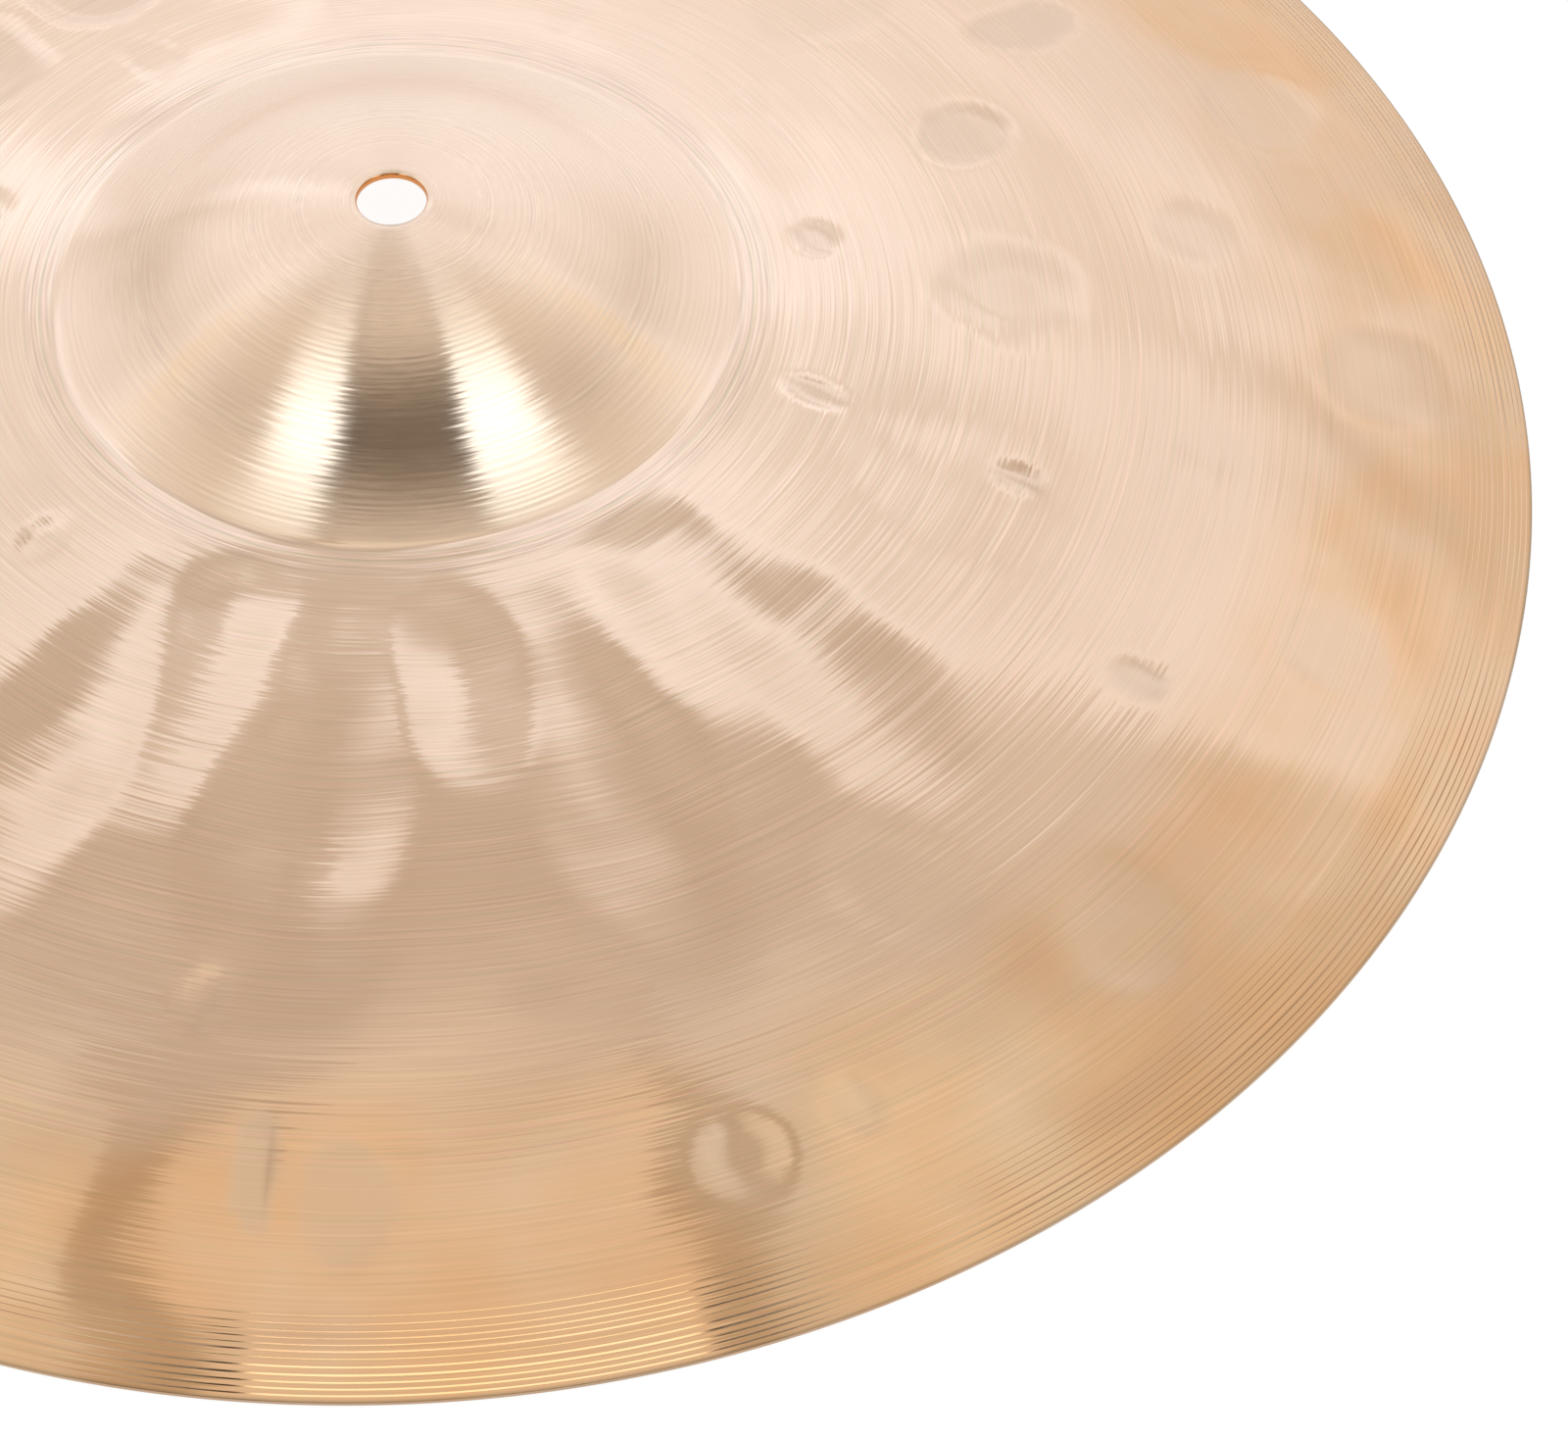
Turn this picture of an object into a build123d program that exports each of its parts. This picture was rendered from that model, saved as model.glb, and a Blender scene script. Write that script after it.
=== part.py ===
"""Crash cymbal: one casting of bell bronze, rolled and hammered to a thin bow,
turned on a lathe, with a raised bell and a plain centre hole.

Millimetres, +Z up. The origin is the centre of the circle that the rim rests on,
and +Z is the axis of symmetry. The whole wall is one section turned about it.
"""

import os
from math import acos, degrees

from build123d import *

os.makedirs("parts", exist_ok=True)

# Outline of the top side
rim_diameter = 406.4  # across the rim, 16 inches
bell_diameter = 120.0  # across the crease at the bell's foot
hole_diameter = 12.0
bow_rise = 28.0  # from the rim's upper edge to the crease
bell_rise = 22.0  # from the crease to the crown, on the axis
crown_radius = 75.0  # round top of the bell
crown_share = 0.71  # of the bell's radius, how far out the crown runs before the foot
crease_radius = 2.5  # small hollow where the foot meets the bow

# Wall, which thins from the bell to the rim
bell_wall = 1.30
crease_wall = 1.10
rim_wall = 0.75

# Edges
rim_round = 0.12  # how far the rim's rounded edge stands out at mid wall
hole_edge_break = 0.20

# Places in the section: X is the distance from the axis, Y the height
rim_bottom = Vector(rim_diameter / 2 - rim_round, 0)
rim_top = rim_bottom + Vector(0, rim_wall)
crease_top = Vector(bell_diameter / 2, rim_wall + bow_rise)
crease_bottom = crease_top - Vector(0, crease_wall)
crown_centre = Vector(0, crease_top.Y + bell_rise - crown_radius)
hole_radius = hole_diameter / 2
# where crown and foot meet, as an angle at the crown's centre
crown_end = degrees(acos(crown_share * crease_top.X / crown_radius))


def bell_line(crease, radius):
    """Crown arc from the hole, and the hollow foot that leaves it without a corner for the crease.

    Returns the crown arc's end at the hole.
    """
    hole_angle = degrees(acos(hole_radius / radius))
    crown = CenterArc(crown_centre, radius, crown_end, hole_angle - crown_end)
    TangentArc(crown @ 0, crease, tangent=-(crown % 0))
    return crown @ 1


def bow_line(crease, rim):
    """Arc from crease to rim about a point on the axis, so the bow is part of a sphere."""
    rise = crease.Y - rim.Y
    below_rim = (rim.X**2 - crease.X**2 - rise**2) / (2 * rise)
    RadiusArc(crease, rim, Vector(rim.X, below_rim).length)


with BuildPart() as cymbal:
    with BuildSketch(Plane.XZ) as section:
        with BuildLine():
            hole_top = bell_line(crease_top, crown_radius)
            hole_bottom = bell_line(crease_bottom, crown_radius - bell_wall)
            Line(hole_top, hole_bottom)
            bow_line(crease_top, rim_top)
            bow_line(crease_bottom, rim_bottom)
            SagittaArc(rim_top, rim_bottom, rim_round)
        make_face()

        def corner(place):
            return section.vertices().sort_by_distance(place)[0]

        fillet(corner(crease_top), crease_radius)
        hole_corners = [corner(hole_top), corner(hole_bottom)]
        chamfer(hole_corners, min(hole_edge_break, 0.45 * bell_wall))
    revolve(axis=Axis.Z)

cymbal.part.label = "cymbal"
export_step(cymbal.part, "parts/cymbal.step")
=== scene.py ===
"""Looks of a crash cymbal: one cast bronze disc, cupped, hammered and turned.

Laid out as a Blender add-on. The cymbal's sizes and colours are properties, the
shell and the stage have an operator each, and main() calls them in order.
"""

import math

import bpy
from bpy.props import FloatProperty, FloatVectorProperty, IntProperty, PointerProperty
from bpy.types import Operator, Panel, PropertyGroup
from mathutils import Matrix, Vector


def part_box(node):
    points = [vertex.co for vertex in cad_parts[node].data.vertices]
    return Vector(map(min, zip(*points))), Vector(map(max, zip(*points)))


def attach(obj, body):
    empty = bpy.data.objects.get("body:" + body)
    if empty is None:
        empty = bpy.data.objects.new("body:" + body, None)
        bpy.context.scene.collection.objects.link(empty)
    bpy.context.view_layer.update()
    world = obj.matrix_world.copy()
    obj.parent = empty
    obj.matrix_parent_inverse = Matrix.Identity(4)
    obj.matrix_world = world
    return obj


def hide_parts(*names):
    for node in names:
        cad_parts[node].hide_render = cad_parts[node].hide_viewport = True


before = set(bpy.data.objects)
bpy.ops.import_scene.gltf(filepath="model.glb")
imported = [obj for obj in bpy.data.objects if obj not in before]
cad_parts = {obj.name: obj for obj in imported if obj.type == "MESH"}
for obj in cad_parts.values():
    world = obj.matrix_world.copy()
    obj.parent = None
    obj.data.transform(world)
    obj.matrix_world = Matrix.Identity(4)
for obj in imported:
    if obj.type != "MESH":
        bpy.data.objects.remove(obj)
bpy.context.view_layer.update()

bl_info = {
    "name": "Crash Cymbal",
    "version": (1, 0, 0),
    "blender": (4, 5, 0),
    "location": "3D View > Sidebar > Cymbal",
    "description": "Builds a hammered and turned bronze crash cymbal and its studio",
    "category": "Add Mesh",
}

LOW, HIGH = (Vector(corner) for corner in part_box("cymbal"))
RIM_RADIUS = (HIGH.x - LOW.x) / 2
MM = 0.001
FULL_TURN = 2 * math.pi


# ---------------------------------------------------------------- node maths


class Value:
    """A node socket that Python's signs work on: each sign adds one Math node."""

    def __init__(self, nodes, socket):
        self.nodes = nodes
        self.socket = socket

    def math(self, operation, *others):
        return self.nodes.math(operation, self, *others)

    def __add__(self, other):
        return self.nodes.math("ADD", self, other)

    def __radd__(self, other):
        return self.nodes.math("ADD", other, self)

    def __sub__(self, other):
        return self.nodes.math("SUBTRACT", self, other)

    def __rsub__(self, other):
        return self.nodes.math("SUBTRACT", other, self)

    def __mul__(self, other):
        return self.nodes.math("MULTIPLY", self, other)

    def __rmul__(self, other):
        return self.nodes.math("MULTIPLY", other, self)

    def __truediv__(self, other):
        return self.nodes.math("DIVIDE", self, other)

    def __rtruediv__(self, other):
        return self.nodes.math("DIVIDE", other, self)

    def __pow__(self, power):
        return self.nodes.math("POWER", self, power)

    def __gt__(self, other):
        return self.nodes.math("GREATER_THAN", self, other)

    def __lt__(self, other):
        return self.nodes.math("LESS_THAN", self, other)

    def __abs__(self):
        return self.nodes.math("ABSOLUTE", self)

    def clamped(self):
        return self.math("MINIMUM", 1.0).math("MAXIMUM", 0.0)

    def wrapped(self):
        """The same angle, between minus and plus half a turn."""
        return self.math("WRAP", math.pi, -math.pi)

    def step(self, start, end):
        """0 before start, 1 after end, and a smooth rise between them."""
        t = ((self - start) / (end - start)).clamped()
        return t * t * (3 - 2 * t)

    def between(self, start, full, fade, end):
        """A band: rises from start to full, and falls from fade to end."""
        return self.step(start, full) * (1 - self.step(fade, end))


class Nodes:
    """Adds nodes to one tree."""

    def __init__(self, tree):
        self.tree = tree

    def plug(self, slot, item):
        """Links a socket or a Value to a slot, or writes a number or colour into it."""
        if isinstance(item, Value):
            self.tree.links.new(item.socket, slot)
        elif isinstance(item, bpy.types.NodeSocket):
            self.tree.links.new(item, slot)
        else:
            slot.default_value = item

    def add(self, kind, settings=None, **slots):
        """A node of any kind: its settings first, then the values or links of its sockets.

        A slot is named as on the node, with _ for a space, or i0, i1 ... by its place.
        """
        node = self.tree.nodes.new(kind)
        for name, value in (settings or {}).items():
            setattr(node, name, value)
        for name, item in slots.items():
            by_place = name[0] == "i" and name[1:].isdigit()
            key = int(name[1:]) if by_place else name.replace("_", " ")
            self.plug(node.inputs[key], item)
        return node

    def math(self, operation, *items):
        slots = {f"i{place}": item for place, item in enumerate(items)}
        return Value(self, self.add("ShaderNodeMath", {"operation": operation}, **slots).outputs[0])

    def parts(self, vector):
        node = self.add("ShaderNodeSeparateXYZ", i0=vector)
        return [Value(self, part) for part in node.outputs]

    def joined(self, x, y, z):
        return self.add("ShaderNodeCombineXYZ", i0=x, i1=y, i2=z).outputs[0]

    def vector(self, operation, *items):
        slots = {f"i{place}": item for place, item in enumerate(items)}
        return self.add("ShaderNodeVectorMath", {"operation": operation}, **slots).outputs[0]

    def mixed(self, share, first, second, kind="MIX"):
        settings = {"data_type": "RGBA", "blend_type": kind}
        return self.add("ShaderNodeMix", settings, i0=share, i6=first, i7=second).outputs[2]

    def noise(self, where, scale=1.0, detail=0.0, dimensions="3D"):
        """A noise node, whose first output runs from 0 to 1."""
        slot = {"W" if dimensions == "1D" else "Vector": where}
        settings = {"noise_dimensions": dimensions}
        return self.add("ShaderNodeTexNoise", settings, Scale=scale, Detail=detail, **slot)

    def inputs(self, sizes):
        """Gives the tree a named input for each size, and returns them by name."""
        for name, kind in sizes:
            self.tree.interface.new_socket(name, in_out="INPUT", socket_type=kind)
        node = self.add("NodeGroupInput")
        return {name: Value(self, node.outputs[name]) for name, _ in sizes}


# ---------------------------------------------------------------- properties


def length(name, text, millimetres):
    return FloatProperty(name=name, description=text, default=millimetres * MM, unit="LENGTH")


def angle(name, text, degrees):
    return FloatProperty(name=name, description=text, default=math.radians(degrees), subtype="ANGLE")


def share(name, text, value):
    return FloatProperty(name=name, description=text, default=value, subtype="FACTOR", min=0, soft_max=1)


def colour(name, text, value):
    return FloatVectorProperty(
        name=name, description=text, default=value, subtype="COLOR", size=3, min=0, max=1
    )


class CymbalForm(PropertyGroup):
    """Section of the cymbal, as the maker would give it."""

    hole_radius: length("Hole radius", "Half of the centre hole's width", 6.0)
    bell_radius: length("Bell radius", "Half the width across the crease", 60.0)
    bow_rise: length("Bow rise", "Rim's upper edge to the crease", 28.0)
    bell_rise: length("Bell rise", "Crease to the crown", 22.0)
    crown_radius: length("Crown radius", "Round top of the bell", 75.0)
    crown_share: share("Crown share", "How far out the round crown runs, of the bell's radius", 0.71)
    crease_blend: length("Crease blend", "Softness of the crease", 0.25)
    bell_wall: length("Bell wall", "Thickness at the hole", 1.3)
    crease_wall: length("Crease wall", "Thickness at the crease", 1.1)
    rim_wall: length("Rim wall", "Thickness at the rim", 0.75)
    rim_round: length("Rim round", "How far the rim's edge stands out", 0.12)
    crease_band: length("Crease band", "Width of the finely divided strip at the crease", 3.0)
    lip: length("Lip", "Narrow strip beside the rim's edge, which keeps its shading flat", 0.15)
    edge_break: length("Edge break", "Rounding of the hole's edges", 0.2)
    wobble: share("Crease wobble", "How far the hand-cupped bell is out of round", 0.012)


class HammerWork(PropertyGroup):
    """Hammer marks under the turning, and the slow swells between them."""

    seed: IntProperty(name="Seed", description="Changes the random marks and the swells", default=7)
    strength: share("Mark strength", "Depth of all marks against their own", 1.0)
    swell_size: length("Swell size", "Distance between swells", 48)
    swell_depth: length("Swell depth", "Height from hollow to swell", 1.9)


class BronzeFinish(PropertyGroup):
    """Polished bell bronze. Its colours grow paler and pinker from the rim towards the axis: painted light,
    standing in for the brighter, washed-out reflection on the inner part.
    """

    # From the bell out to the rim these go from pale and pink to golden: partly the bronze's own colour,
    # partly painted light.
    bell: colour("Bell", "Bell and the start of the bow", (0.95, 0.75, 0.61))
    bow: colour("Bow", "Middle of the bow", (0.85, 0.63, 0.48))
    outer: colour("Outer bow", "Outer part of the bow", (0.81, 0.59, 0.43))
    rim: colour("Rim", "Last few millimetres before the rim", (0.79, 0.55, 0.365))
    orange: colour("Heat patches", "Warm patches of the outer bow", (0.80, 0.50, 0.29))
    grey: colour("Mark floors", "Bottom of a hammer mark, which the tool misses", (0.66, 0.51, 0.40))
    raw: colour("Raw edge", "Cut metal in the hole", (0.72, 0.30, 0.10))


class Studio(PropertyGroup):
    """Place and lens of the camera."""

    camera_distance: length("Camera distance", "From the middle of the rim", 719.36)
    camera_height: angle("Camera height", "Angle above the rim's plane", 47.626)
    camera_pan: angle("Pan", "Turn to the right", 5.1175)
    camera_tilt: angle("Tilt", "Turn upwards", -5.0191)
    camera_roll: angle("Roll", "Clockwise turn about the line of sight", 3.9424)
    lens: FloatProperty(name="Lens", description="Focal length in millimetres", default=90.47, unit="CAMERA")


# ---------------------------------------------------------------- the cymbal's form

FLOAT, WHOLE = "NodeSocketFloat", "NodeSocketInt"

# Grid columns of the bell, the crease, the bow, its lip, the rim, the underside's lip, the underside
# and the hole, and the grid's segments round the axis.
COLUMNS = (38, 10, 103, 1, 5, 1, 37, 6)
SEGMENTS = 492

# Waves of the bell's foot: how many go round the axis, their phase, and their part of the wobble.
BELL_WAVES = ((2, 3.7, 0.5), (3, 3.7, 0.35), (5, 2.4, 0.25), (7, 2.9, 0.15))

# Distances from the axis at which the hammer work begins, is full, eases and ends, in metres.
HAMMERED = (0.063, 0.072, 0.188, 0.198)

# Size of the waves that bend the marks' outlines, how far they bend them, and the gap between grid
# points below which they are merged, in metres.
BEND_SIZE = 0.025
BEND = 0.009
MERGE_GAP = 2e-6

# Rows of blows: distance from the axis, number of blows, bearing of one of them in degrees,
# half length, half width and depth. Lengths in millimetres. Bearings run from the front to the right.
ROWS = (
    (78, 12, 6, 8, 7, 0.24),
    (107, 15, -11, 19, 15, 0.42),
    (145, 16, 7, 11, 9, 0.30),
    (174, 16, -6, 13, 12, 0.30),
)

# The rows are even and random behind these bearings. Between them each blow is listed one by one:
# bearing, distance, half length, half width, depth, steepness of its walls, and how bare its floor is.
PLACED = (-50, 126)
BLOWS = (
    (-24, 80, 42, 13, 0.80, 1.0, 0.1),
    (4, 85, 24, 13, 1.00, 1.0, 0.1),
    (31, 76, 42, 13, 0.80, 1.0, 0.1),
    (66, 77, 8, 4, 0.32, 1.3, 0.7),
    (96, 74, 5, 5, 0.36, 1.4, 0.6),
    (124, 79, 8, 6, 0.12, 1.0, 0.2),
    (-35, 110, 42, 16, 1.40, 1.0, 0.1),
    (-31, 114, 14, 10, 0.30, 1.0, 0.0),
    (-11, 109, 42, 18, 1.50, 1.0, 0.1),
    (-6, 111, 14, 13, 0.40, 1.0, 0.0),
    (16, 112, 42, 16, 1.30, 1.0, 0.1),
    (37, 106, 40, 15, 0.90, 1.0, 0.1),
    (62, 105, 24, 17, 0.50, 1.0, 0.0),
    (65, 113, 6, 4, 0.34, 1.3, 0.7),
    (87, 108, 17, 15, 0.80, 1.2, 0.4),
    (109, 111, 12, 10, 0.60, 1.5, 0.8),
    (-15.5, 143, 7, 4, 0.20, 1.6, 0.2),
    (5, 138, 12, 8, 0.12, 1.0, 0.1),
    (30, 146, 16, 14, 0.20, 1.4, 0.3),
    (53, 148, 7, 5, 0.26, 1.3, 0.8),
    (74, 145, 10, 8, 0.12, 1.0, 0.1),
    (95, 147, 9, 9, 0.25, 1.2, 0.3),
    (119.5, 141, 12, 8, 0.45, 1.8, 0.8),
    (-10.5, 169, 12, 6, 0.15, 1.0, 0.9),
    (-6, 174, 13, 9, 0.20, 1.2, 0.6),
    (14, 175, 9, 8, 0.18, 1.3, 0.6),
    (20, 174, 6, 4, 0.20, 1.5, 0.4),
    (39, 172, 14, 14, 0.30, 1.2, 0.6),
    (62, 174, 13, 12, 0.25, 1.2, 0.6),
    (84, 176, 14, 13, 0.30, 1.3, 0.6),
    (107, 174, 13, 13, 0.35, 1.5, 0.6),
)


def shell_sizes(form, work):
    """The tree's named inputs with their values: the given sizes, and those that follow from them."""
    rim_radius = RIM_RADIUS - form.rim_round
    crease = Vector((form.bell_radius, form.rim_wall + form.bow_rise))
    crown_centre = Vector((0, crease.y + form.bell_rise - form.crown_radius))
    crown_end = math.acos(form.crown_share * form.bell_radius / form.crown_radius)
    outwards = Vector((math.cos(crown_end), math.sin(crown_end)))
    meeting = crown_centre + outwards * form.crown_radius
    to_crease = crease - meeting
    foot_radius = to_crease.length_squared / (2 * to_crease.dot(outwards))
    foot_centre = meeting + outwards * foot_radius
    below_rim = (rim_radius**2 - form.bell_radius**2 - form.bow_rise**2) / (2 * form.bow_rise)
    return {
        "Hole Radius": form.hole_radius,
        "Bell Radius": form.bell_radius,
        "Rim Radius": rim_radius,
        "Crown Radius": form.crown_radius,
        "Crown Centre": crown_centre.y,
        "Crown Edge": meeting.x,
        "Foot Radius": foot_radius,
        "Foot Centre Out": foot_centre.x,
        "Foot Centre Up": foot_centre.y,
        "Foot Slope": (foot_centre.x - crease.x) / (foot_centre.y - crease.y),
        "Crease Blend": form.crease_blend,
        "Bow Radius": math.hypot(rim_radius, below_rim),
        "Bow Centre": form.rim_wall - below_rim,
        "Bell Wall": form.bell_wall,
        "Crease Wall": form.crease_wall,
        "Rim Wall": form.rim_wall,
        "Rim Round": form.rim_round,
        "Lip": form.lip,
        "Crease Band": form.crease_band,
        "Edge Break": form.edge_break,
        "Crease Wobble": form.wobble,
        "Mark Strength": work.strength,
        "Swell Size": work.swell_size,
        "Swell Depth": work.swell_depth,
        "Seed": work.seed,
    }


def arc(circle_radius, out):
    """How high a circle stands above its centre, this far out from it."""
    return (circle_radius**2 - out**2).math("SQRT")


def top_of_section(size, radius, bearing):
    """Height of the top side: round crown, hollow foot and round bow, the bell a little out of round."""
    wobble = sum((bearing * waves + phase).math("SINE") * part for waves, phase, part in BELL_WAVES)
    near_crease = radius.step(size["Bell Radius"] * 0.5, size["Bell Radius"])
    round_radius = radius / (1 + wobble * near_crease * size["Crease Wobble"])
    inside = round_radius.math("MINIMUM", size["Bell Radius"])
    crown = arc(size["Crown Radius"], round_radius) + size["Crown Centre"]
    foot = size["Foot Centre Up"] - arc(size["Foot Radius"], size["Foot Centre Out"] - inside)
    foot = foot - (round_radius - inside) * size["Foot Slope"]
    bell = crown + (foot - crown) * (round_radius > size["Crown Edge"])
    bow = arc(size["Bow Radius"], radius) + size["Bow Centre"]
    return bell.math("SMOOTH_MAX", bow, size["Crease Blend"])


def wall_of_section(size, radius):
    """Thickness, which falls from the hole to the crease and from there to the rim."""
    inner = (radius / size["Bell Radius"]).clamped() * (size["Crease Wall"] - size["Bell Wall"])
    outer = ((radius - size["Bell Radius"]) / (size["Rim Radius"] - size["Bell Radius"])).clamped()
    return inner + outer * (size["Rim Wall"] - size["Crease Wall"]) + size["Bell Wall"]


def blow_group():
    """A node group for one blow, which adds its dent and its bare floor to those before it."""
    tree = bpy.data.node_groups.new("hammer blow", "GeometryNodeTree")
    nodes = Nodes(tree)
    place = ("Radius", "Turn", "Bearing", "Distance")
    shape = ("Half Length", "Half Width", "Depth", "Steepness", "Bare")
    slots = nodes.inputs([(name, FLOAT) for name in (*place, *shape, "Depth Before", "Bare Before")])
    steepness = slots["Steepness"]
    across = (slots["Turn"] - slots["Bearing"]).wrapped() * slots["Distance"] / slots["Half Width"]
    along = (slots["Radius"] - slots["Distance"]) / slots["Half Length"]
    pressed = (1 - across**2 - along**2) * steepness
    inner = pressed.clamped()
    dent = inner**2 * (1 + (steepness - 1) * 2 * (1 - inner)) * slots["Depth"]
    bare = pressed.step(0.3, 0.7) * slots["Bare"]
    results = {"Depth": dent + slots["Depth Before"], "Bare": bare.math("MAXIMUM", slots["Bare Before"])}
    for name in results:
        tree.interface.new_socket(name, in_out="OUTPUT", socket_type=FLOAT)
    nodes.add("NodeGroupOutput", **results)
    return tree


def hammer_marks(nodes, radius, bearing, seed):
    """All blows: how deep they go, in metres, and how bare their floors are, from 0 to 1."""
    group = blow_group()
    depth, bare = 0.0, 0.0

    def blow(place, distance, length, width, deep, steepness, bareness):
        nonlocal depth, bare
        node = nodes.add(
            "GeometryNodeGroup",
            {"node_tree": group},
            Radius=radius,
            Turn=bearing,
            Bearing=place,
            Distance=distance,
            Half_Length=length,
            Half_Width=width,
            Depth=deep,
            Steepness=steepness,
            Bare=bareness,
            Depth_Before=depth,
            Bare_Before=bare,
        )
        depth, bare = (Value(nodes, socket) for socket in node.outputs)

    for place, distance, length, width, deep, steepness, bareness in BLOWS:
        blow(math.radians(place), distance * MM, length * MM, width * MM, deep * MM, steepness, bareness)
    for row, (distance, blows, first, length, width, deep) in enumerate(ROWS):
        count = ((bearing - math.radians(first)) * (blows / FULL_TURN) + 0.5).math("FLOOR")
        where = nodes.joined(count.math("FLOORED_MODULO", blows), seed + row, 0.0)
        random = nodes.add("ShaderNodeTexWhiteNoise", {"noise_dimensions": "2D"}, Vector=where)
        strength = Value(nodes, random.outputs["Value"])
        shift, along, size = nodes.parts(random.outputs["Color"])
        # A blow of a row strays from its place, and its length, width and depth differ from the row's.
        place = (count + (shift - 0.5) * 0.25) * (FULL_TURN / blows) + math.radians(first)
        place = place.wrapped()
        behind = (place < math.radians(PLACED[0])) + (place > math.radians(PLACED[1]))
        blow(
            place,
            (distance + (along - 0.5) * length * 0.7) * MM,
            (1.25 - 0.5 * strength) * (length * MM),
            (0.7 + 0.6 * size) * (width * MM),
            (0.4 + 1.2 * strength) * behind * (deep * MM),
            1 + size,
            behind * size * 0.6,
        )
    return depth, bare


def shell_tree(sizes):
    """The shell as one grid, bent into a closed skin: top side, rim, underside and hole."""
    tree = bpy.data.node_groups.new("hammered shell", "GeometryNodeTree")
    tree.interface.new_socket("Geometry", in_out="OUTPUT", socket_type="NodeSocketGeometry")
    nodes = Nodes(tree)
    kinds = [(name, WHOLE if isinstance(value, int) else FLOAT) for name, value in sizes.items()]
    size = nodes.inputs(kinds + [("Material", "NodeSocketMaterial")])

    columns = sum(COLUMNS)
    grid = nodes.add(
        "GeometryNodeMeshGrid",
        Size_X=float(columns),
        Size_Y=1.0,
        Vertices_X=columns + 1,
        Vertices_Y=SEGMENTS + 1,
    )
    column, y, _ = nodes.parts(nodes.add("GeometryNodeInputPosition").outputs[0])
    column = column + columns / 2
    bearing = y * FULL_TURN
    shares = []
    for place, count in enumerate(COLUMNS):
        shares.append(((column - sum(COLUMNS[:place])) / count).clamped())
    bell, crease, bow, lip, rim, lower_lip, under, hole = shares

    inner = size["Hole Radius"] + size["Edge Break"]
    bell_width = size["Bell Radius"] - size["Crease Band"] / 2 - inner
    whole_width = size["Rim Radius"] - size["Lip"] - inner
    bow_width = whole_width - bell_width - size["Crease Band"]
    radius = inner + bell_width * bell + size["Crease Band"] * crease + bow_width * bow - whole_width * under
    radius = radius + (lip - lower_lip) * size["Lip"]
    sine, cosine = bearing.math("SINE"), bearing.math("COSINE")
    flat = nodes.joined(radius * sine, radius * cosine * -1, size["Seed"])
    swell = Value(nodes, nodes.noise(flat, 1 / size["Swell Size"], 1.0).outputs[0]) - 0.5
    bend_out, bend_round, _ = nodes.parts(nodes.noise(flat, 1 / BEND_SIZE, 1.0).outputs["Color"])
    depth, bare = hammer_marks(
        nodes,
        radius + (bend_out - 0.5) * BEND,
        bearing + (bend_round - 0.5) * BEND / radius,
        size["Seed"],
    )
    fade = radius.between(*HAMMERED)
    worked = (swell * size["Swell Depth"] - depth * size["Mark Strength"]) * fade
    height = top_of_section(size, radius, bearing) + worked
    height = height - (rim - hole) * wall_of_section(size, radius)
    bulge = (rim * math.pi).math("SINE") * size["Rim Round"]
    bulge = bulge - (1 - abs(hole * 2 - 1) ** 6) * size["Edge Break"]
    away = radius + bulge

    marked = nodes.add(
        "GeometryNodeStoreNamedAttribute",
        {"data_type": "FLOAT"},
        Geometry=grid.outputs["Mesh"],
        Name="marks",
        Value=bare * fade,
    )
    bent = nodes.add(
        "GeometryNodeSetPosition",
        Geometry=marked.outputs[0],
        Position=nodes.joined(away * sine, away * cosine * -1, height),
    )
    merged = nodes.add("GeometryNodeMergeByDistance", Geometry=bent.outputs[0], Distance=MERGE_GAP)
    smooth = nodes.add("GeometryNodeSetShadeSmooth", Geometry=merged.outputs[0])
    real = nodes.add("GeometryNodeRealizeInstances", Geometry=smooth.outputs[0])
    painted = nodes.add("GeometryNodeSetMaterial", Geometry=real.outputs[0], Material=size["Material"])
    nodes.add("NodeGroupOutput", Geometry=painted.outputs[0])
    return tree


def baked_object(name, tree, values):
    """Runs a tree with these values of its named inputs, and keeps the result as a plain mesh."""
    holder = bpy.data.objects.new(name, bpy.data.meshes.new(name))
    bpy.context.scene.collection.objects.link(holder)
    modifier = holder.modifiers.new("form", "NODES")
    modifier.node_group = tree
    for item in tree.interface.items_tree:
        if item.name in values:
            modifier[item.identifier] = values[item.name]
    evaluated = holder.evaluated_get(bpy.context.evaluated_depsgraph_get())
    mesh = bpy.data.meshes.new_from_object(evaluated)
    holder.modifiers.clear()
    holder.data = mesh
    return holder


# ---------------------------------------------------------------- bronze


def empty_nodes(owner):
    """The cleared node tree of a material or a world."""
    owner.use_nodes = True
    owner.node_tree.nodes.clear()
    return Nodes(owner.node_tree)


def paint(value):
    return (*value, 1.0)


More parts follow.
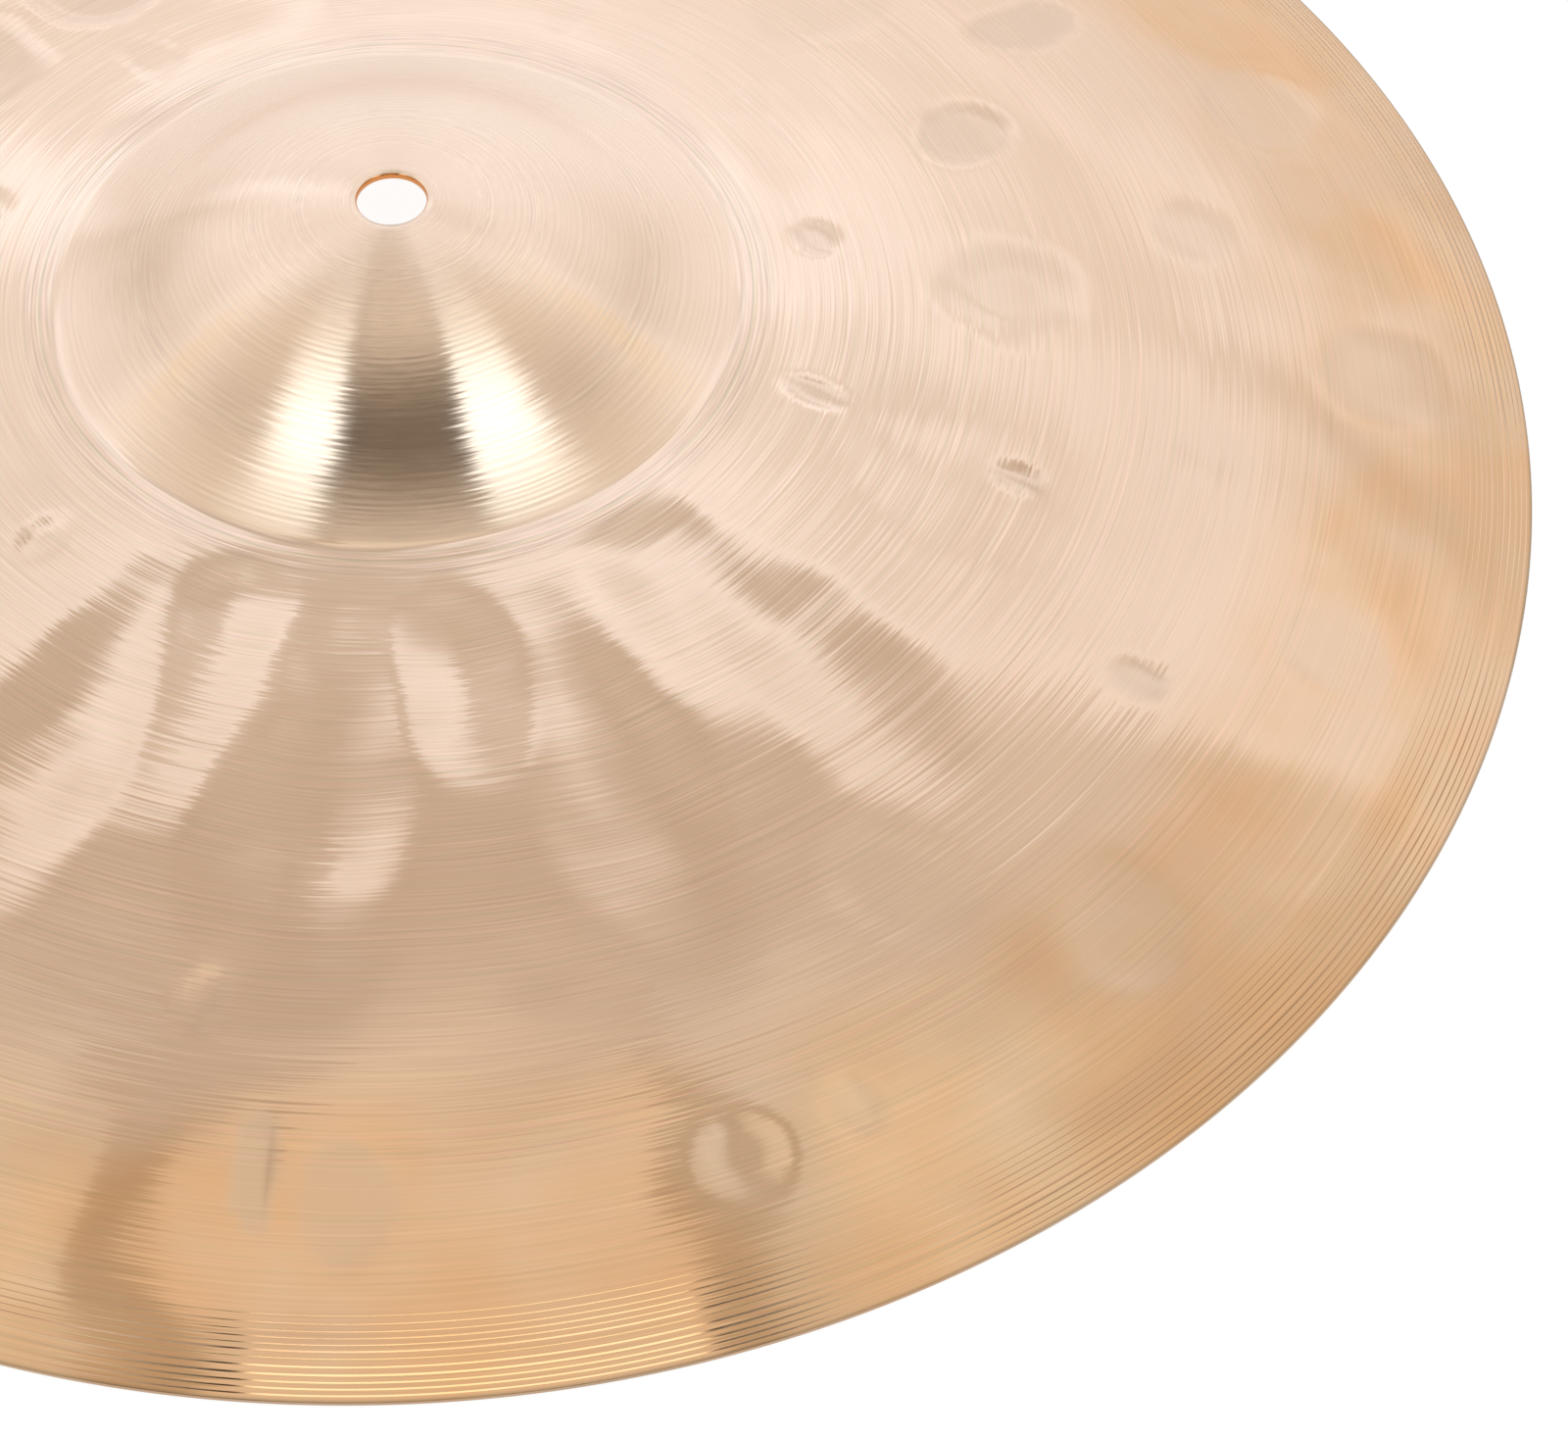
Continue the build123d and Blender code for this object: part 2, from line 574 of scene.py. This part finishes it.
class Turning:
    """The bronze by place, and the patterns that a lathe leaves round the axis.

    A pattern runs from about -1 to 1, and its widths are in millimetres. Other distances are in metres.
    """

    def __init__(self, nodes, form):
        self.nodes = nodes
        self.x, self.y, self.z = nodes.parts(nodes.add("ShaderNodeTexCoord").outputs["Object"])
        self.radius = (self.x * self.x + self.y * self.y).math("SQRT")
        self.cosine, self.sine = self.x / self.radius, self.y / self.radius
        self.on_bell = 1 - self.radius.step(form.bell_radius - 0.002, form.bell_radius)
        self.outer = self.radius.step(0.150, 0.172)
        marks = nodes.add("ShaderNodeAttribute", {"attribute_name": "marks"})
        self.bare = Value(nodes, marks.outputs["Fac"]).clamped()

        from_crown = self.radius.step(0.008, 0.036)
        worn_away = self.radius.step(0.118, 0.132) * 0.75
        bell_lines = self.ripple(1.0, 12) * (0.85 + 0.35 * self.rings(3, 14))
        bow_lines = self.ripple(0.8, 13) * (0.6 + 0.4 * self.rings(3, 15))
        self.bell_lines = bell_lines * from_crown * self.on_bell
        self.bow_lines = bow_lines * (1 - self.on_bell) * (1 - worn_away)

    def spread(self, noise):
        """A noise, stretched to run from about -1 to 1."""
        return (Value(self.nodes, noise.outputs[0]) - 0.5) * 4

    def rings(self, width, seed):
        """Random full rings."""
        return self.spread(self.nodes.noise(self.radius / (width * MM) + seed, dimensions="1D"))

    def patches(self, width, seed, detail=1.0):
        """Random patches."""
        where = self.nodes.joined(self.x, self.y, self.z + seed)
        return self.spread(self.nodes.noise(where, 1 / (width * MM), detail))

    def streaks(self, width, arc_degrees, seed):
        """Short marks of the tool."""
        around = math.degrees(1) / arc_degrees
        where = self.nodes.joined(self.radius / (width * MM) + seed, self.cosine * around, self.sine * around)
        return self.spread(self.nodes.noise(where))

    def ripple(self, pitch, seed, wander=0.5):
        """Even lines of this pitch, which wander a little."""
        return ((self.radius / (pitch * MM) + self.rings(5 * pitch, seed) * wander) * FULL_TURN).math("SINE")


def bronze_tone(turning, finish, form):
    """Colour by distance from the axis, paler towards it as painted light, with heat patches, bare floors,
    the tint of turned lines and painted shade beside the crease.
    """
    nodes, radius, rings = turning.nodes, turning.radius, turning.rings
    # Paler and pinker towards the axis: painted light for the brighter, washed-out reflection on the inner
    # part.
    tone = nodes.mixed(radius.step(0.055, 0.135), paint(finish.bell), paint(finish.bow))
    tone = nodes.mixed(radius.step(0.140, 0.180), tone, paint(finish.outer))
    tone = nodes.mixed(radius.step(0.180, 0.202), tone, paint(finish.rim))
    heated = turning.outer * (1 - turning.bare) * (0.5 + 0.6 * turning.patches(26, 2.0, 2.0)).clamped()
    tone = nodes.mixed(heated, tone, paint(finish.orange))
    tone = nodes.mixed(turning.bare * (0.5 - turning.outer * 0.4), tone, paint(finish.grey))

    # The band just outside the crease: more turned lines there, which are real, and painted shade.
    beside_crease = radius.between(0.0590, 0.0605, 0.0640, 0.0680)
    bundles = 0.55 + 0.45 * rings(7, 66) + beside_crease * 1.2
    lines = rings(0.5, 8) * 0.4 + turning.ripple(0.8, 21) * 0.15 + turning.streaks(0.3, 7, 5) * 0.5
    shade = 1 + lines * bundles * 0.085 + turning.bell_lines * 0.04 + turning.bow_lines * 0.02
    # Darker in the band beside the crease: painted shade.
    shade = shade + turning.patches(38, 7.0, 2.0) * 0.02 - beside_crease * 0.05
    shade = shade - radius.step(0.2024, 0.2030) * 0.35
    green = rings(0.9, 44) * bundles * (1 - turning.on_bell * 0.8) * 0.025
    tint = nodes.joined(shade - green, shade**0.9, shade**0.8 - green)
    tone = nodes.mixed(1.0, tone, tint, "MULTIPLY")
    cut = 1 - radius.step(form.hole_radius + 0.0001, form.hole_radius + 0.0003)
    return nodes.mixed(cut, tone, paint(finish.raw))


def bronze_normal(turning):
    """The surface's normal, leaned out and in by turned lines and sideways by the tool's chatter."""
    nodes, radius, rings, streaks = turning.nodes, turning.radius, turning.rings, turning.streaks
    fine = rings(0.45, 3) * 0.9 + rings(1.6, 17) * 0.3 + streaks(0.35, 5, 2) * 0.9
    fine = fine * (0.55 + 0.45 * turning.on_bell)
    uneven = 0.75 + 0.35 * turning.patches(30, 5.0)
    slope = turning.bell_lines * 2.2 + turning.bow_lines * 0.9 + fine
    slope = slope * uneven * (1 - turning.bare * 0.5)
    groove = abs((radius / (1.05 * MM) + rings(6, 77) * 0.4).math("FRACT") * 2 - 1)
    coarse = groove < (rings(2.0, 91) * 0.1 + 0.22) * radius.step(0.188, 0.197)
    shoulder = radius.between(0.0600, 0.0612, 0.0680, 0.0800)
    degrees_out = slope + shoulder * 3.5 + coarse * 42 - radius.step(0.176, 0.196) * 3.5
    degrees_aside = streaks(0.3, 14, 50) * 0.8 + rings(0.5, 60) * 0.6
    degrees_aside = degrees_aside * (0.9 + (1 - turning.on_bell) * (0.9 - turning.outer * 1.5))
    out = degrees_out * math.radians(1)
    aside = degrees_aside * (1 - turning.bare) * math.radians(1)
    outwards = nodes.joined(turning.cosine * out, turning.sine * out, 0.0)
    sideways = nodes.joined(turning.sine * aside * -1, turning.cosine * aside, 0.0)
    leaned = nodes.vector("ADD", nodes.add("ShaderNodeNewGeometry").outputs["Normal"], outwards)
    return nodes.vector("NORMALIZE", nodes.vector("ADD", leaned, sideways))


def bronze(finish, form):
    """Bell bronze, polished by turning, so that it gleams across its lines."""
    material = bpy.data.materials.new("bell bronze")
    nodes = empty_nodes(material)
    turning = Turning(nodes, form)
    shader = nodes.add(
        "ShaderNodeBsdfPrincipled",
        Base_Color=bronze_tone(turning, finish, form),
        Metallic=1.0,
        Roughness=0.10 + turning.on_bell * 0.115 + turning.bare * 0.04,
        Anisotropic=0.98,
        Anisotropic_Rotation=0.25,
        Normal=bronze_normal(turning),
        Tangent=nodes.add("ShaderNodeTangent", {"direction_type": "RADIAL", "axis": "Z"}).outputs[0],
    )
    nodes.add("ShaderNodeOutputMaterial", i0=shader.outputs[0])
    return material


# ---------------------------------------------------------------- stage

# Half the floor's width in metres, its colour, and its glow, with which it looks white once it is lit.
FLOOR_REACH = 6.0
FLOOR_COLOUR = (0.2, 0.2, 0.2)
FLOOR_GLOW = 0.88

# Colours of the studio. A lamp's are above 1.
BACKGROUND = (1.0, 1.0, 1.0)
WARM_BAND = (0.90, 0.80, 0.60)
LAMP = (1.62, 1.84, 1.90)
GAP = (0.05, 0.032, 0.015)
GAP_TOP = (0.98, 0.90, 0.76)
GAP_TOP_SHADE = (0.50, 0.42, 0.33)
LOW_LAMP = (2.2, 2.0, 1.6)
LOW_SHADE = (0.03, 0.03, 0.03)

# The world is laid out as on a ceiling one unit above the cymbal, by distance across and towards the
# back. HORIZON keeps low directions finite. The lamps' edges fan out from FAN_POINT, and never from
# nearer to it than LEAST_FAN. TENT_SHIFT moves everything to the left, and FAN_SHIFT moves the lower
# lamp and the top of the gap part of the way back.
HORIZON = 0.03
TENT_SHIFT = 0.032
FAN_POINT = 0.91
LEAST_FAN = 0.1
FAN_SHIFT = 0.022


def floor_material():
    """Glows white to the camera and in reflections, over a pale matt surface that takes the shadow."""
    material = bpy.data.materials.new("floor")
    nodes = empty_nodes(material)
    rays = nodes.add("ShaderNodeLightPath").outputs
    seen = Value(nodes, rays["Is Camera Ray"]).math("MAXIMUM", Value(nodes, rays["Is Glossy Ray"]))
    seen = seen.math("MAXIMUM", Value(nodes, rays["Is Transmission Ray"]))
    glow = nodes.add("ShaderNodeEmission", Strength=seen * FLOOR_GLOW)
    matt = nodes.add("ShaderNodeBsdfDiffuse", Color=paint(FLOOR_COLOUR))
    both = nodes.add("ShaderNodeAddShader", i0=glow.outputs[0], i1=matt.outputs[0])
    below = nodes.add("ShaderNodeNewGeometry").outputs["Backfacing"]
    clear = nodes.add("ShaderNodeBsdfTransparent")
    sided = nodes.add("ShaderNodeMixShader", i0=below, i1=both.outputs[0], i2=clear.outputs[0])
    nodes.add("ShaderNodeOutputMaterial", i0=sided.outputs[0])
    return material


def make_camera(studio):
    """A camera in front of the cymbal and above it, aimed at the rim's middle and then turned a little."""
    scene = bpy.context.scene
    camera = bpy.data.objects.new("camera", bpy.data.cameras.new("camera"))
    camera.data.lens = studio.lens
    camera.data.sensor_width = 36.0
    away = Vector((0, -math.cos(studio.camera_height), math.sin(studio.camera_height)))
    right = Vector((1, 0, 0))
    facing = Matrix((right, right.cross(-away), -away))
    pan = Matrix.Rotation(-studio.camera_pan, 3, "Y")
    tilt = Matrix.Rotation(studio.camera_tilt, 3, "X")
    roll = Matrix.Rotation(studio.camera_roll, 3, "Z")
    right, up, ahead = roll @ tilt @ pan @ facing
    axes = Matrix((right, up, -ahead)).transposed()
    camera.matrix_world = Matrix.Translation(away * studio.camera_distance) @ axes.to_4x4()
    scene.collection.objects.link(camera)
    scene.camera = camera


def tent(nodes, across, side, back):
    """The tent's cloth: pale, warmer where it is darker, with soft bands and the gaps between its panels."""
    base = (back + 0.35 * side).step(0.15, 1.05) * 0.30 + 0.69
    base = base - back.between(0.20, 0.28, 0.44, 0.50) * (1 - side.step(0.25, 0.45)) * 0.10
    gaps = across.between(-0.15, -0.09, 0.03, 0.08) * 0.75 + side.between(0.15, 0.19, 0.36, 0.44) * 0.12
    panel = back.step(0.39, 0.44) * (1 - gaps * (1 - back.step(0.62, 1.10)))
    level = base + (back.step(0.8, 1.4) * 0.09 + 1.06 - base) * panel
    level = level - back.between(0.52, 0.55, 0.60, 0.66) * (1 - side.step(0.10, 0.16)) * 0.30
    folds = ((across * 9 + back * 6).math("SINE") + 1) * 0.10
    level = level * (1 - folds * back.step(0.45, 0.75))
    level = level - side.step(0.7, 1.4) * (1 - back.step(2.2, 4.0)) * 0.08
    far = (side + (1 - back.step(-3.0, -1.0)) * 2).step(1.7, 2.6)
    level = level * (1 - far * ((back.math("ARCTAN2", across) * 3 + 0.6).math("SINE") * 0.2 + 0.2))
    return nodes.joined(level, level**1.25, level**1.6)


def make_world():
    """A pale tent, a soft lamp each side of a dark gap at the front, and a lower lamp beneath the gap."""
    world = bpy.data.worlds.new("studio")
    nodes = empty_nodes(world)
    x, y, z = nodes.parts(nodes.add("ShaderNodeTexCoord").outputs["Generated"])
    up = abs(z).math("MAXIMUM", HORIZON)
    across, back = x / up + TENT_SHIFT, y / up
    side = abs(across)
    ring = back - side.math("MINIMUM", 0.9) ** 2 * 0.55
    distance = (FAN_POINT - back).math("MAXIMUM", LEAST_FAN)
    fan = side / distance
    beam = abs(across - FAN_SHIFT) / distance
    low = back.between(-1.75, -1.50, -0.28, 0.0)
    lower = back.between(-3.6, -2.8, -1.75, -1.50)
    top = back.between(-0.12, -0.05, 0.08, 0.15)
    lamp_height = low + back.between(-0.28, 0.0, 0.15, 0.25) * 0.13
    layers = (
        (ring.between(-0.20, -0.08, 0.02, 0.14) * 0.8, WARM_BAND),
        (top * beam.between(0.165, 0.185, 0.22, 0.40) * 0.6, GAP_TOP_SHADE),
        (lamp_height * fan.between(0.235, 0.255, 0.52, 0.68), LAMP),
        (low * (1 - fan.step(0.235, 0.255)), GAP),
        (top * (1 - beam.step(0.165, 0.185)), GAP_TOP),
        (lower * (1 - beam.step(0.225, 0.245)), LOW_LAMP),
        (lower * beam.between(0.225, 0.245, 0.30, 0.42), LOW_SHADE),
        (nodes.add("ShaderNodeLightPath").outputs["Is Camera Ray"], BACKGROUND),
    )
    sky = tent(nodes, across, side, back)
    for strength, tint in layers:
        sky = nodes.mixed(strength, sky, paint(tint))
    light = nodes.add("ShaderNodeBackground", Color=sky, Strength=1.0)
    nodes.add("ShaderNodeOutputWorld", i0=light.outputs[0])
    bpy.context.scene.world = world


# ---------------------------------------------------------------- operators


class CYMBAL_OT_shell(Operator):
    """Build the hammered and turned shell and hide the plain one"""

    bl_idname = "cymbal.shell"
    bl_label = "Shell"

    def execute(self, context):
        scene = context.scene
        sizes = shell_sizes(scene.cymbal_form, scene.cymbal_hammer)
        material = bronze(scene.cymbal_finish, scene.cymbal_form)
        shell = baked_object("bronze_shell", shell_tree(sizes), {**sizes, "Material": material})
        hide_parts("cymbal")
        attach(shell, "root")
        return {"FINISHED"}


class CYMBAL_OT_stage(Operator):
    """Lay the floor and set up the world and the camera"""

    bl_idname = "cymbal.stage"
    bl_label = "Stage"

    def execute(self, context):
        corners = ((-1, -1), (1, -1), (1, 1), (-1, 1))
        corners = [(x * FLOOR_REACH, y * FLOOR_REACH, 0) for x, y in corners]
        floor_mesh = bpy.data.meshes.new("floor")
        floor_mesh.from_pydata(corners, [], [(0, 1, 2, 3)])
        floor_mesh.materials.append(floor_material())
        floor = bpy.data.objects.new("floor", floor_mesh)
        context.scene.collection.objects.link(floor)
        make_world()
        make_camera(context.scene.cymbal_studio)
        context.scene.view_settings.view_transform = "Standard"
        return {"FINISHED"}


class CYMBAL_PT_panel(Panel):
    """Buttons that build the cymbal"""

    bl_idname = "CYMBAL_PT_panel"
    bl_label = "Crash Cymbal"
    bl_space_type = "VIEW_3D"
    bl_region_type = "UI"
    bl_category = "Cymbal"

    def draw(self, context):
        for kind in (CYMBAL_OT_shell, CYMBAL_OT_stage):
            self.layout.operator(kind.bl_idname)


GROUPS = {
    "cymbal_form": CymbalForm,
    "cymbal_hammer": HammerWork,
    "cymbal_finish": BronzeFinish,
    "cymbal_studio": Studio,
}
CLASSES = (*GROUPS.values(), CYMBAL_OT_shell, CYMBAL_OT_stage, CYMBAL_PT_panel)


def register():
    for kind in CLASSES:
        bpy.utils.register_class(kind)
    for name, kind in GROUPS.items():
        setattr(bpy.types.Scene, name, PointerProperty(type=kind))


def unregister():
    for name in GROUPS:
        delattr(bpy.types.Scene, name)
    for kind in reversed(CLASSES):
        bpy.utils.unregister_class(kind)


def main():
    register()
    bpy.ops.cymbal.shell()
    bpy.ops.cymbal.stage()


if __name__ == "__main__":
    main()
